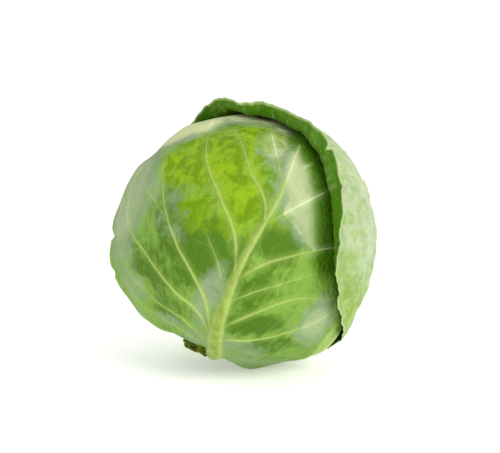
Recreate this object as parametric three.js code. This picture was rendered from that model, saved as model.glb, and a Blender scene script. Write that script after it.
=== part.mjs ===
// Cabbage head: a packed heart, a cut stem and four wrapper leaves, each leaf a thin blade
// with its midrib and veins standing on the outer face. Millimetres, +Z up, rests on z = 0.
import * as THREE from 'three';

// ---- driving dimensions ----
const CENTRE_Z = 88;      // middle of the head above the floor
const HEART_R = 83;       // mean radius the wrapper leaves are laid on
const HEART_CLEAR = 1.3;  // heart surface below the first leaf
const SHEET = 90;         // radius on which leaf outlines are laid out
const BLADE = 1.0;        // leaf blade thickness
const SEAT = 0.4;         // blade above the surface it lies on
const LIFT = 2.9;         // what one leaf adds under the next
const FADE = 16;          // past a leaf's edge the next leaf settles over this distance
const STEM_R = 10;        // cut stem radius
const STEM_FROM = 60;     // stem start and end, from the middle of the head
const STEM_TO = 85;
const STEM_LEAN = [1.4, -80];  // tau and psi of the stem's own axis
const STEM_SIDES = 16;
const STEM_DIR = new THREE.Vector3(-0.36, -0.145, -0.921).normalize();
const HEART_ROWS = 20;
const HEART_SIDES = 30;
const HEART_CUT = 20;     // within this angle of the stem the heart is cut off square
const RIB_TAPER = 2;      // power of a midrib's taper
const RIB_SPREAD = 260;   // mm2, how widely a midrib lifts the leaf above it
const WAVE_IN = 22;       // a margin's wave dies away over this distance
const REST_FADE = 1.2;    // relief fades out where the head is this close to the floor

// ---- spacing of the points of a blade ----
const FILL_GAP = 15;
const EDGE_GAP = 8;
const RIB_GAP = 10;
const VEIN_GAP = 9;
const FILL_SHAKE = 3;
const LAYOUT_SHAKE = 0.06;
const ROLL_ROWS = [4.5, 9, 13.5, 18.5];                  // rows inside a turned margin
const REST_RINGS = [[5, 3], [11, 7], [18, 12], [25, 14]];  // radius and points of a ring

const rad = (a) => a * Math.PI / 180;
const deg = (a) => a * 180 / Math.PI;
const clamp01 = (v) => Math.min(1, Math.max(0, v));
const smooth = (v) => { const c = clamp01(v); return c * c * (3 - 2 * c); };

let seed = 20417;
const random = () => {
  seed = (seed * 1664525 + 1013904223) % 4294967296;
  return seed / 4294967296;
};

// stem frame: tau is the angle from the stem end, psi goes round the stem, 0 at the front
const FRONT = new THREE.Vector3(0, -1, 0);
FRONT.addScaledVector(STEM_DIR, -FRONT.dot(STEM_DIR)).normalize();
const SIDE = new THREE.Vector3().crossVectors(FRONT, STEM_DIR);
const around = (psi) => new THREE.Vector3()
  .addScaledVector(FRONT, Math.cos(rad(psi))).addScaledVector(SIDE, Math.sin(rad(psi)));
const direction = (tau, psi) => around(psi).multiplyScalar(Math.sin(rad(tau)))
  .addScaledVector(STEM_DIR, Math.cos(rad(tau)));
const DOWN = new THREE.Vector3(0, 0, -1);

// ---- the head's own shape: swellings and hollows of the packed surface ----
// [tau, psi, height mm, width deg]
const SWELLINGS = [
  [0, 0, -20, 16.5],
  [62, -95, 2.4, 34],
  [58, 78, 6.5, 22],
  [128, -100, -3, 26],
  [150, 20, -1, 30],
  [92, 150, -2, 40],
  [25, 122, 6.5, 16],
  [38, 76, -5, 12],
  [16, -60, -3.5, 14],
];
const SWELL = SWELLINGS.map(([t, p, h, w]) => ({ d: direction(t, p), h, w: rad(w) }));
const base = (d) => {
  let r = HEART_R;
  for (const s of SWELL) {
    const a = Math.acos(Math.max(-1, Math.min(1, d.dot(s.d)))) / s.w;
    r += s.h * Math.exp(-a * a);
  }
  r += 0.7 * Math.sin(7 * d.x + 4 * d.z + 1) * Math.sin(6 * d.y - 5 * d.z);
  return r;
};

// ---- leaves, inner first. edge: outline radius every 15 degrees from the leaf's right ----
// veins: [height on the midrib, angle, length, bend, size] or [size, points]
// wave: height, count and phase of a margin's waves, and how ragged its outline is
// nicks: [angle, half width in degrees, depth]; flares: [angle, turn of the margin in degrees,
// radius of the turn, length]
const LEAVES = [
  {
    name: 'lower_leaf', tau: 85, psi: 76, colour: 0x86a94f,
    edge: [112, 116, 118, 122, 124, 126, 128, 126, 124, 122, 118, 114,
      112, 112, 116, 118, 114, 112, 115, 108, 112, 116, 114, 112],
    wave: 1.0, waves: 11, phase: 1.0, ragged: 1.8, nicks: [],
    midrib: [[0, -115], [2, -80], [0, -40], [-2, 0], [0, 40], [2, 75]],
    rib: [12, 3.0, 2, 0.8],
    veins: [[-76, 118, 70, -30, 1.0], [-52, 62, 80, 30, 1.0], [-22, 126, 78, -34, 1.0],
      [-4, 52, 72, 30, 1.0], [26, 128, 62, -30, 0.9], [42, 50, 58, 26, 0.9]],
    flares: [],
  },
  {
    name: 'left_leaf', tau: 90, psi: 220, colour: 0x8aab58,
    edge: [124, 122, 122, 120, 122, 126, 128, 126, 122, 124, 122, 120,
      124, 126, 120, 118, 114, 110, 121, 125, 133, 130, 128, 128],
    wave: 1.4, waves: 12, phase: 0.4, ragged: 1.8, nicks: [],
    midrib: [[0, -120], [-4, -90], [-8, -50], [-6, -10], [0, 30], [4, 70], [6, 96]],
    rib: [14, 4.2, 2, 0.8],
    veins: [[-92, 128, 84, -30, 1.2], [-86, 50, 90, 32, 1.2], [-60, 124, 98, -30, 1.2],
      [-50, 46, 96, 36, 1.2], [-24, 128, 92, -34, 1.1], [-12, 50, 86, 34, 1.1],
      [8, 130, 78, -30, 1.0], [22, 46, 72, 30, 1.0], [40, 128, 56, -26, 0.9],
      [54, 52, 50, 22, 0.9]],
    flares: [],
  },
  {
    name: 'front_leaf', tau: 88, psi: 4, colour: 0x86a83e,
    edge: [98, 104, 110, 118, 126, 130, 132, 134, 136, 138, 141, 143,
      142, 141, 137, 129, 118, 110, 118, 125, 124, 102, 90, 90],
    wave: 1.2, waves: 10, phase: 2.2, ragged: 1.8,
    nicks: [[199, 2.4, 4], [214, 2.0, 3], [277, 5, 6]],
    midrib: [[2, -119], [3, -96], [-5, -68], [-9, -44], [-10, -10], [-6, 18], [-1, 46], [2, 74],
      [5, 92]],
    rib: [17, 5.2, 2.2, 0.8],
    veins: [
      [1.4, [-7, -70], [-28, -40], [-60, -13], [-83, 12], [-98, 40], [-101, 60]],
      [0.8, [-76, 1], [-88, 6], [-104, 15]],
      [1.5, [-11, -16], [-22, 8], [-43, 31], [-62, 53], [-75, 84], [-77, 106]],
      [1.3, [-5, 22], [-11, 38], [-27, 55], [-40, 75], [-55, 94]],
      [0.9, [-1, 48], [-14, 82], [-26, 114]],
      [1.3, [-5, -74], [-23, -58], [-50, -48], [-84, -32], [-108, -16], [-127, 13], [-130, 32]],
      [1.0, [-5, -84], [-30, -72], [-60, -70], [-80, -63], [-98, -55], [-124, -38]],
      [0.9, [-4, -92], [-28, -87], [-56, -86], [-84, -78]],
      [0.6, [-14, -32], [-26, -14], [-39, 0]],
      [1.1, [-5, 22], [3, 30], [13, 41], [32, 60]],
      [1.3, [-9, -22], [-3, -11], [12, 3], [40, 19], [60, 27]],
      [0.7, [-9, -40], [2, -26], [17, -14], [41, 2]],
      [1.5, [-6, -60], [8, -42], [25, -25], [40, -17], [68, -12]],
      [1.2, [-4, -76], [6, -66], [19, -61], [40, -49], [60, -33], [73, -16]],
    ],
    flares: [[195, 22, 9, 7], [210, 26, 9, 8], [225, 18, 9, 7]],
  },
  {
    name: 'hood_leaf', tau: 108, psi: 148, colour: 0xa6bd84,
    edge: [124, 130, 138, 146, 151, 161, 156, 158, 167, 177, 185, 185,
      175, 152, 128, 119, 125, 148, 152, 150, 140, 130, 124, 122],
    wave: 0.9, waves: 13, phase: 0.2, ragged: 1.0, nicks: [[122, 1.3, 5]],
    midrib: [[4, -151], [3, -120], [-4, -80], [-8, -40], [-4, 0], [2, 40], [6, 80], [6, 108]],
    rib: [15, 5.0, 2.2, 0.9],
    veins: [[-122, 128, 92, -34, 1.2], [-112, 50, 100, 40, 1.2], [-92, 122, 118, -34, 1.4],
      [-76, 50, 116, 38, 1.4], [-56, 126, 122, -40, 1.4], [-40, 46, 112, 34, 1.4],
      [-18, 130, 116, -38, 1.3], [-2, 48, 98, 34, 1.3], [22, 126, 102, -30, 1.2],
      [36, 52, 88, 30, 1.2], [58, 128, 76, -22, 1.0], [72, 54, 66, 24, 1.0]],
    flares: [[45, 26, 9, 8], [60, 50, 8, 13], [75, 68, 8, 15], [90, 74, 8, 16],
      [105, 84, 8, 18], [120, 95, 8, 20], [135, 95, 8, 21], [150, 80, 9, 21],
      [165, 64, 10, 20], [180, 46, 9, 15], [195, 12, 9, 9]],
  },
];

// value at an angle from a ring of numbers spaced evenly, through every number
const ring = (list, deg) => {
  const n = list.length;
  const u = ((deg % 360) + 360) % 360 / 360 * n;
  const i = Math.floor(u) % n;
  const f = u - Math.floor(u);
  const [a, b, c, e] = [-1, 0, 1, 2].map((k) => list[(i + k + n) % n]);
  return b + 0.5 * f * (c - a + f * (2 * a - 5 * b + 4 * c - e + f * (3 * (b - c) + e - a)));
};

for (const leaf of LEAVES) {
  leaf.c = direction(leaf.tau, leaf.psi);
  leaf.m = STEM_DIR.clone().multiplyScalar(-Math.sin(rad(leaf.tau)))
    .addScaledVector(around(leaf.psi), Math.cos(rad(leaf.tau)));
  leaf.t = new THREE.Vector3().crossVectors(leaf.m, leaf.c);
  leaf.turn = new Array(24).fill(0);
  leaf.curl = new Array(24).fill(9);
  leaf.reach = new Array(24).fill(8);
  for (const [a, turn, curl, reach] of leaf.flares) {
    leaf.turn[a / 15] = turn;
    leaf.curl[a / 15] = curl;
    leaf.reach[a / 15] = reach;
  }
}

// direction of a point of a leaf's flat layout, and back
const outward = (leaf, x, y) => {
  const rho = Math.hypot(x, y) + 1e-9;
  const a = rho / SHEET;
  return new THREE.Vector3().addScaledVector(leaf.c, Math.cos(a))
    .addScaledVector(leaf.t, Math.sin(a) * x / rho).addScaledVector(leaf.m, Math.sin(a) * y / rho);
};
const layout = (leaf, d) => {
  const a = Math.acos(Math.max(-1, Math.min(1, d.dot(leaf.c))));
  const k = SHEET * a / Math.max(Math.sin(a), 1e-9);
  return [k * d.dot(leaf.t), k * d.dot(leaf.m)];
};
const angleOf = (x, y) => deg(Math.atan2(y, x));
const atAngle = (r, at) => [r * Math.cos(rad(at)), r * Math.sin(rad(at))];
// uneven ripple round a margin, between -1 and 1
const ripple = (leaf, at, shift) => {
  const t = rad(at);
  const p = leaf.phase + shift;
  return 0.5 * Math.sin(leaf.waves * t + p)
    + 0.3 * Math.sin(Math.round(1.6 * leaf.waves) * t + 2.1 * p)
    + 0.2 * Math.sin(Math.round(2.6 * leaf.waves) * t + 3.7 * p);
};
const marginAt = (leaf, at) => ring(leaf.edge, at) + leaf.ragged * ripple(leaf, at, 1.3);
const edgeAt = (leaf, at) => {
  let r = marginAt(leaf, at);
  for (const [middle, half, depth] of leaf.nicks) {
    r -= depth * clamp01(1 - Math.abs(((at - middle + 540) % 360) - 180) / half);
  }
  return r;
};
const insideEdge = (leaf, x, y) => edgeAt(leaf, angleOf(x, y)) - Math.hypot(x, y);
// how a margin turns up: angle, radius and length of the turned strip
const rollAt = (leaf, at) => ({
  turn: rad(Math.max(0, ring(leaf.turn, at))),
  curl: ring(leaf.curl, at),
  reach: ring(leaf.reach, at),
});

// how much a leaf carries the leaves above it, 1 over the blade and 0 well past its edge
const cover = (leaf, d) => {
  const [x, y] = layout(leaf, d);
  return smooth((insideEdge(leaf, x, y) + FADE) / (FADE - 2));
};
const ribCarry = (leaf, d) => {
  const [x, y] = layout(leaf, d);
  const a = clamp01((y + 130) / 200);
  const off = x - leaf.bend(y);
  return leaf.rib[1] * (1 - a) * (1 - a) * Math.exp(-off * off / RIB_SPREAD)
    * smooth((70 - y) / 60) * smooth((y + 150) / 14);
};
const stack = (d, upto) => {
  let s = 0;
  for (let i = 0; i < upto; i += 1) {
    const c = cover(LEAVES[i], d);
    if (c > 0) s += c * (LIFT + ribCarry(LEAVES[i], d));
  }
  return s;
};
const covered = (d, k) => {
  let over = 0;
  for (let j = k + 1; j < LEAVES.length; j += 1) over = Math.max(over, cover(LEAVES[j], d));
  return over;
};
// how far the head would reach below the floor at a direction if it did not press flat there
const pressed = (d) => {
  if (d.z > -0.5) return -99;
  const top = LEAVES.length - 1;
  return base(d) + stack(d, top) + LIFT * (cover(LEAVES[top], d) - 1) + SEAT + BLADE
    - CENTRE_Z / -d.z;
};
// radius under leaf number k
const seatRadius = (d, k) => base(d) - Math.max(0, pressed(d)) + stack(d, k);
const flatness = (d) => smooth((pressed(d) + REST_FADE) / REST_FADE);

// point of the inner face of leaf k at (x, y) of its layout
const bladePoint = (k, x, y) => {
  const leaf = LEAVES[k];
  const rho = Math.hypot(x, y);
  const at = angleOf(x, y);
  const margin = marginAt(leaf, at);
  const inside = margin - rho;
  const { turn, curl, reach } = rollAt(leaf, at);
  let along = rho;
  let up = 0;
  if (turn > 0.02 && inside < reach) {
    const s = reach - inside;
    const bend = Math.min(s / curl, turn);
    const rest = s - bend * curl;
    along = margin - reach + curl * Math.sin(bend) + rest * Math.cos(bend);
    up = curl * (1 - Math.cos(bend)) + rest * Math.sin(bend);
  }
  const k1 = along / Math.max(rho, 1e-9);
  const d = outward(leaf, x * k1, y * k1);
  const wave = leaf.wave * smooth(1 - inside / WAVE_IN) * (1 + ripple(leaf, at, 0));
  const r = seatRadius(d, k) + SEAT + up + wave * (1 - flatness(d)) * (1 - covered(d, k));
  return d.multiplyScalar(r).add(new THREE.Vector3(0, 0, CENTRE_Z));
};
const bladeNormal = (k, x, y) => {
  const e = 0.6;
  const px = bladePoint(k, x + e, y).sub(bladePoint(k, x - e, y));
  const py = bladePoint(k, x, y + e).sub(bladePoint(k, x, y - e));
  return px.cross(py).normalize();
};

// ---- flat triangulation of a blade ----
const delaunay = (pts) => {
  const big = 4000;
  const all = [...pts, [-big, -big], [big, -big], [0, big]];
  const n = pts.length;
  const circle = (a, b, c) => {
    const [ax, ay] = all[a];
    const [bx, by] = [all[b][0] - ax, all[b][1] - ay];
    const [cx, cy] = [all[c][0] - ax, all[c][1] - ay];
    const q = 2 * (bx * cy - by * cx);
    const ux = (cy * (bx * bx + by * by) - by * (cx * cx + cy * cy)) / q;
    const uy = (bx * (cx * cx + cy * cy) - cx * (bx * bx + by * by)) / q;
    return { a, b, c, x: ax + ux, y: ay + uy, r: ux * ux + uy * uy };
  };
  let tris = [circle(n, n + 1, n + 2)];
  for (let i = 0; i < n; i += 1) {
    const [x, y] = pts[i];
    const edges = new Map();
    const kept = [];
    for (const t of tris) {
      if ((t.x - x) ** 2 + (t.y - y) ** 2 < t.r) {
        for (const [p, q] of [[t.a, t.b], [t.b, t.c], [t.c, t.a]]) {
          if (edges.has(`${q},${p}`)) edges.delete(`${q},${p}`);
          else edges.set(`${p},${q}`, [p, q]);
        }
      } else kept.push(t);
    }
    for (const [p, q] of edges.values()) kept.push(circle(p, q, i));
    tris = kept;
  }
  return tris.filter((t) => t.a < n && t.b < n && t.c < n).map((t) => [t.a, t.b, t.c]);
};
const within = (poly, x, y) => {
  let hit = false;
  for (let i = 0, j = poly.length - 1; i < poly.length; j = i, i += 1) {
    const [xi, yi] = poly[i];
    const [xj, yj] = poly[j];
    if ((yi > y) !== (yj > y) && x < (xj - xi) * (y - yi) / (yj - yi) + xi) hit = !hit;
  }
  return hit;
};

// smooth path through hand-set points, sampled every `gap` mm
const path = (points, gap) => {
  const curve = new THREE.CatmullRomCurve3(points.map(([x, y]) => new THREE.Vector3(x, y, 0)),
    false, 'centripetal');
  return curve.getSpacedPoints(Math.max(2, Math.round(curve.getLength() / gap)))
    .map((p) => [p.x, p.y]);
};
// a side vein leaves the midrib at height y, at an angle, and bends more towards its end
const sideVein = (leaf, vein, gap) => {
  if (Array.isArray(vein[1])) return path(vein.slice(1), gap);
  const [y, angle, length, bend] = vein;
  const x = leaf.bend(y);
  const steps = Math.max(3, Math.round(length / gap));
  const pts = [[x, y]];
  for (let i = 0; i < steps; i += 1) {
    const a = rad(angle + bend * ((i + 0.5) / steps) ** 2);
    const [px, py] = pts[i];
    pts.push([px + Math.cos(a) * length / steps, py + Math.sin(a) * length / steps]);
  }
  return pts;
};

for (const leaf of LEAVES) {
  const line = path(leaf.midrib, 4);
  leaf.bend = (y) => {
    if (y <= line[0][1]) return line[0][0];
    for (let i = 1; i < line.length; i += 1) {
      const [x0, y0] = line[i - 1];
      const [x1, y1] = line[i];
      if (y <= y1) return x0 + (x1 - x0) * (y - y0) / (y1 - y0);
    }
    return line[line.length - 1][0];
  };
}

const bladeMesh = (k) => {
  const leaf = LEAVES[k];
  const pts = [];
  const high = [];
  const near = (x, y, d) => pts.some(([a, b]) => (a - x) ** 2 + (b - y) ** 2 < d * d);
  const put = (x, y, h) => { pts.push([x, y]); high.push(h); };
  const inside = (x, y) => insideEdge(leaf, x, y);

  // outline, with points at the ends and the middle of every nick
  const outline = [];
  const stops = leaf.nicks.flatMap(([middle, half]) => [middle - half, middle, middle + half]);
  for (let at = 0; at < 360;) {
    const r = edgeAt(leaf, at);
    outline.push(atAngle(r, at));
    const next = at + deg(EDGE_GAP / r);
    const stop = stops.find((a) => a > at + 1e-6 && a < next + 1.2);
    at = stop === undefined ? next : stop;
  }
  const [fx, fy] = outline[0];
  const [lx, ly] = outline[outline.length - 1];
  if (Math.hypot(fx - lx, fy - ly) < 4) outline.pop();
  outline.forEach(([x, y]) => put(x, y, 0));

  // midrib: foot, flank and crest rows
  const [w0, h0, w1, h1] = leaf.rib;
  const spine = path(leaf.midrib, RIB_GAP);
  spine.forEach(([x, y], i) => {
    const u = i / (spine.length - 1);
    const [ax, ay] = spine[Math.max(0, i - 1)];
    const [bx, by] = spine[Math.min(spine.length - 1, i + 1)];
    const len = Math.hypot(bx - ax, by - ay);
    const [nx, ny] = [-(by - ay) / len, (bx - ax) / len];
    const w = w1 + (w0 - w1) * (1 - u) ** RIB_TAPER;
    const h = h1 + (h0 - h1) * (1 - u) ** RIB_TAPER;
    if (inside(x, y) < 5) return;
    for (const [f, g] of [[0, 1], [-0.5, 0], [0.5, 0], [-0.3, 0.72], [0.3, 0.72]]) {
      if (Math.abs(f) === 0.3 && w < 5) continue;
      put(x + nx * f * w, y + ny * f * w, h * g);
    }
  });
  // side veins: foot and crest rows
  for (const vein of leaf.veins) {
    const size = Array.isArray(vein[1]) ? vein[0] : vein[4];
    const line = sideVein(leaf, vein, VEIN_GAP);
    line.forEach(([px, py], i) => {
      const u = i / (line.length - 1);
      const v = clamp01((py - spine[0][1]) / (spine[spine.length - 1][1] - spine[0][1]));
      const foot = (w1 + (w0 - w1) * (1 - v) ** RIB_TAPER) / 2;
      if (Math.abs(px - leaf.bend(py)) < foot + 2.6) return;
      const [ax, ay] = line[Math.max(0, i - 1)];
      const [bx, by] = line[Math.min(line.length - 1, i + 1)];
      const len = Math.hypot(bx - ax, by - ay);
      const [nx, ny] = [-(by - ay) / len, (bx - ax) / len];
      const w = 1.6 + 1.6 * (1 - u) * size;
      const h = (0.35 + 0.75 * (1 - u)) * size;
      if (inside(px, py) < 6 || near(px, py, 2.6)) return;
      put(px, py, h);
      for (const f of [-0.5, 0.5]) {
        const [qx, qy] = [px + nx * f * w, py + ny * f * w];
        if (!near(qx, qy, Math.min(1.1, w * 0.45))) put(qx, qy, 0);
      }
    });
  }
  // rows that follow a turned margin
  for (const inset of ROLL_ROWS) {
    for (let at = 0; at < 360; at += deg(EDGE_GAP / edgeAt(leaf, at))) {
      const { turn, reach } = rollAt(leaf, at);
      const [x, y] = atAngle(edgeAt(leaf, at) - inset, at);
      if (turn > rad(12) && inset < reach + 3 && !near(x, y, 3.4)) put(x, y, 0);
    }
  }
  // resting spot
  const [dx, dy] = layout(leaf, DOWN);
  for (const [r, n] of REST_RINGS) {
    for (let i = 0; i < n; i += 1) {
      const [ox, oy] = atAngle(r, i / n * 360);
      if (inside(dx + ox, dy + oy) > 5 && !near(dx + ox, dy + oy, 3.4)) put(dx + ox, dy + oy, 0);
    }
  }
  // fill
  const reachOut = Math.ceil(Math.max(...leaf.edge) / FILL_GAP / 0.866);
  for (let j = -reachOut; j <= reachOut; j += 1) {
    for (let i = -reachOut; i <= reachOut; i += 1) {
      const x = (i + (j % 2 ? 0.5 : 0)) * FILL_GAP + (random() - 0.5) * FILL_SHAKE;
      const y = j * FILL_GAP * 0.866 + (random() - 0.5) * FILL_SHAKE;
      if (inside(x, y) > 7 && !near(x, y, 6.5)) put(x, y, 0);
    }
  }
  const shake = () => (random() - 0.5) * LAYOUT_SHAKE;
  const loose = pts.map(([x, y]) => [x + shake(), y + shake()]);
  const border = loose.slice(0, outline.length);
  const tris = delaunay(loose).filter(([a, b, c]) => within(border,
    (loose[a][0] + loose[b][0] + loose[c][0]) / 3, (loose[a][1] + loose[b][1] + loose[c][1]) / 3));
  const count = new Map();
  for (const [a, b, c] of tris) {
    for (const [p, q] of [[a, b], [b, c], [c, a]]) count.set(`${p},${q}`, [p, q]);
  }
  const rim = [...count.values()].filter(([p, q]) => !count.has(`${q},${p}`));
  if (rim.length !== outline.length || rim.some(([p, q]) => (p + 1) % outline.length !== q)) {
    throw new Error(`${leaf.name}: outline not kept, ${rim.length} of ${outline.length}`);
  }

  const position = [];
  const outer = loose.map(([x, y], i) => {
    const p = bladePoint(k, x, y);
    const n = bladeNormal(k, x, y);
    const d = p.clone().sub(new THREE.Vector3(0, 0, CENTRE_Z)).normalize();
    const over = covered(d, k);
    const relief = high[i] > 1.6 ? high[i] * (1 - 0.25 * over) : high[i] * (1 - 0.6 * over);
    return p.addScaledVector(n, BLADE + relief * (1 - flatness(d)));
  });
  const inner = loose.map(([x, y]) => bladePoint(k, x, y));
  const top = k === LEAVES.length - 1;
  outer.forEach((p) => {
    const z = p.z < (top ? 0.3 : 0) ? 0 : p.z;
    position.push(p.x, p.y, z);
  });
  inner.forEach((p) => position.push(p.x, p.y, p.z));
  const n = loose.length;
  const index = [];
  for (const [a, b, c] of tris) index.push(a, b, c, n + a, n + c, n + b);
  for (const [p, q] of rim) index.push(q, p, n + p, q, n + p, n + q);
  const geometry = new THREE.BufferGeometry();
  geometry.setAttribute('position', new THREE.Float32BufferAttribute(position, 3));
  geometry.setIndex(index);
  geometry.computeVertexNormals();
  return geometry;
};

// closed lump on an axis from rows of [distance along, radius], with its own ripple
const lump = (rows, origin, axis, sides, dents) => {
  const a = around(0);
  const b = new THREE.Vector3().crossVectors(axis, a);
  const position = [];
  const index = [];
  const put = (p) => { position.push(p.x, p.y, p.z); return position.length / 3 - 1; };
  const first = put(origin.clone().addScaledVector(axis, rows[0][0]));
  rows.forEach(([z, r], j) => {
    for (let i = 0; i < sides; i += 1) {
      const t = i / sides * 2 * Math.PI;
      const rr = r * (1 + dents(t, j));
      put(origin.clone().addScaledVector(axis, z).addScaledVector(a, rr * Math.cos(t))
        .addScaledVector(b, rr * Math.sin(t)));
    }
  });
  const last = put(origin.clone().addScaledVector(axis, rows[rows.length - 1][0]));
  const id = (j, i) => 1 + j * sides + (i % sides);
  for (let i = 0; i < sides; i += 1) {
    index.push(first, id(0, i + 1), id(0, i), last, id(rows.length - 1, i),
      id(rows.length - 1, i + 1));
    for (let j = 0; j + 1 < rows.length; j += 1) {
      index.push(id(j, i), id(j, i + 1), id(j + 1, i), id(j, i + 1), id(j + 1, i + 1),
        id(j + 1, i));
    }
  }
  const geometry = new THREE.BufferGeometry();
  geometry.setAttribute('position', new THREE.Float32BufferAttribute(position, 3));
  geometry.setIndex(index);
  geometry.computeVertexNormals();
  return geometry;
};

// heart: rows round the stem axis, with the edges of its packed leaves as low steps
const heartMesh = () => {
  const rows = HEART_ROWS;
  const sides = HEART_SIDES;
  const position = [];
  const index = [];
  const put = (tau, psi) => {
    const d = direction(tau, psi);
    const step = smooth((tau - 70) / 60) * 1.6 * (((psi * 3 + tau * 2.2) % 360) / 360);
    const cut = tau < HEART_CUT ? (STEM_FROM - 1) / Math.cos(rad(tau)) : Infinity;
    const r = Math.min(seatRadius(d, 0) - HEART_CLEAR - step, cut);
    d.multiplyScalar(r);
    position.push(d.x, d.y, d.z + CENTRE_Z);
    return position.length / 3 - 1;
  };
  const first = put(0, 0);
  for (let j = 1; j < rows; j += 1) {
    for (let i = 0; i < sides; i += 1) put(j / rows * 180, i / sides * 360);
  }
  const last = put(180, 0);
  const id = (j, i) => 1 + (j - 1) * sides + (i % sides);
  for (let i = 0; i < sides; i += 1) {
    index.push(first, id(1, i + 1), id(1, i), last, id(rows - 1, i), id(rows - 1, i + 1));
    for (let j = 1; j + 1 < rows; j += 1) {
      index.push(id(j, i), id(j, i + 1), id(j + 1, i), id(j, i + 1), id(j + 1, i + 1),
        id(j + 1, i));
    }
  }
  const geometry = new THREE.BufferGeometry();
  geometry.setAttribute('position', new THREE.Float32BufferAttribute(position, 3));
  geometry.setIndex(index);
  geometry.computeVertexNormals();
  return geometry;
};

const group = new THREE.Group();
group.name = 'cabbage_head';
const add = (name, geometry, color, roughness) => {
  const mesh = new THREE.Mesh(geometry,
    new THREE.MeshStandardMaterial({ color, roughness, metalness: 0 }));
  mesh.name = name;
  group.add(mesh);
};

add('heart', heartMesh(), 0xcfdc9a, 0.55);
const STEM_ROWS = [[STEM_FROM, STEM_R * 0.9], [STEM_FROM + 5, STEM_R],
  [STEM_TO - 8, STEM_R * 1.04], [STEM_TO - 3, STEM_R * 0.97], [STEM_TO - 1, STEM_R * 0.86],
  [STEM_TO, STEM_R * 0.6]];
const scars = (t, j) => 0.07 * Math.sin(3 * t + j) + 0.06 * Math.sin(5 * t - 2 * j);
add('stem', lump(STEM_ROWS, new THREE.Vector3(0, 0, CENTRE_Z), direction(...STEM_LEAN),
  STEM_SIDES, scars), 0x59661c, 0.8);
LEAVES.forEach((leaf, k) => add(leaf.name, bladeMesh(k), leaf.colour, 0.5));

export default group;
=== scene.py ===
# %% [markdown]
# # A round green cabbage
#
# A cabbage head is a bud that never opened: a packed heart of pale leaves with a few
# looser wrapper leaves folded round it from a short stem. The heart and the collision
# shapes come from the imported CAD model. This lesson makes the four wrapper leaves and
# the cut stem again with the detail that the eye wants: rounded ribs, branching veins,
# a thin rolled margin, and the wax that dulls the outer leaves.

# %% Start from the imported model
import math
import bmesh
import bpy
import numpy as np
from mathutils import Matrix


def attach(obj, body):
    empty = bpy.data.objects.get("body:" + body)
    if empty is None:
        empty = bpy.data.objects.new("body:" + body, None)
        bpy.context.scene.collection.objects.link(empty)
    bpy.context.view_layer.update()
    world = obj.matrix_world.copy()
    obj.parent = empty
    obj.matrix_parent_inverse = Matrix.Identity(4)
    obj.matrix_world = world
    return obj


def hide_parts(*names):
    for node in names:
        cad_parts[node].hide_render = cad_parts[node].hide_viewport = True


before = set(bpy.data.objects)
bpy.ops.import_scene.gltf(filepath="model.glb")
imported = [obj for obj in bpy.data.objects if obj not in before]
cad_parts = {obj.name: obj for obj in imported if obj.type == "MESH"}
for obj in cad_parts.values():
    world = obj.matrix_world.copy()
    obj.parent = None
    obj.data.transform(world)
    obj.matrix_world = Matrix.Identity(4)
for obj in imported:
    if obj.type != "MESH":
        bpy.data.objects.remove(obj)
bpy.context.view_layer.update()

# %% [markdown]
# ## Camera, floor and light
#
# The head rests on a white table in an even studio light. The camera stands a little over
# a metre away and 12 degrees above the horizon, so the long lens keeps the round head
# from bulging, and a small lens shift centres it. The table is white acrylic lit from
# below, so it stays white right up to the head and holds hardly any shadow. One very soft
# light from the upper right models the ribs; a low fill on the left and a white world keep
# the shaded side and the underside readable.

# %% Camera
HEAD_MIDDLE = (0.0, 0.0, 0.090)
CAMERA_AWAY = 1.15
CAMERA_UP = math.radians(12)
FRAME_WIDTH = 500        # pixels
PIXEL_MM = 0.68          # one pixel of the frame at the middle of the head
SHIFT = (4, 9.5)         # pixels by which the lens moves the head left and down

camera_data = bpy.data.cameras.new("camera")
camera_data.sensor_width = 36
camera_data.lens = camera_data.sensor_width * CAMERA_AWAY * 1000 / PIXEL_MM / FRAME_WIDTH
camera_data.shift_x = SHIFT[0] / FRAME_WIDTH
camera_data.shift_y = SHIFT[1] / FRAME_WIDTH
camera = bpy.data.objects.new("camera", camera_data)
camera.location = (0, -CAMERA_AWAY * math.cos(CAMERA_UP),
                   HEAD_MIDDLE[2] + CAMERA_AWAY * math.sin(CAMERA_UP))
camera.rotation_euler = (math.radians(90) - CAMERA_UP, 0, 0)
bpy.context.collection.objects.link(camera)
bpy.context.scene.camera = camera
print("lens, mm:", round(camera_data.lens, 1))

# %% Colours and nodes
def linear(hex_colour):
    """An sRGB colour such as "#86a83e" as the linear numbers that Blender mixes."""
    values = [int(hex_colour[i:i + 2], 16) / 255 for i in (1, 3, 5)]
    return [v / 12.92 if v <= 0.04045 else ((v + 0.055) / 1.055) ** 2.4 for v in values] + [1]


def add_node(tree, kind, settings=None, links=None):
    """Adds a node, sets its properties and sockets, and joins sockets to other outputs."""
    node = tree.nodes.new(kind)
    for name, value in (settings or {}).items():
        if isinstance(name, str) and hasattr(node, name):
            setattr(node, name, value)
        else:
            node.inputs[name].default_value = value
    for name, source in (links or {}).items():
        tree.links.new(source, node.inputs[name])
    return node


def new_material(name):
    """A material with a Principled shader joined to its output."""
    material = bpy.data.materials.new(name)
    material.use_nodes = True
    tree = material.node_tree
    tree.nodes.clear()
    shader = add_node(tree, "ShaderNodeBsdfPrincipled")
    add_node(tree, "ShaderNodeOutputMaterial", links={"Surface": shader.outputs[0]})
    return material, tree, shader


print("a leaf green, linear:", [round(v, 3) for v in linear("#86a83e")[:3]])


# %% From a bmesh to an object
def mesh_of(name, bm):
    """A mesh with the faces of a bmesh, which is freed."""
    mesh = bpy.data.meshes.new(name)
    bm.to_mesh(mesh)
    bm.free()
    return mesh


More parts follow.
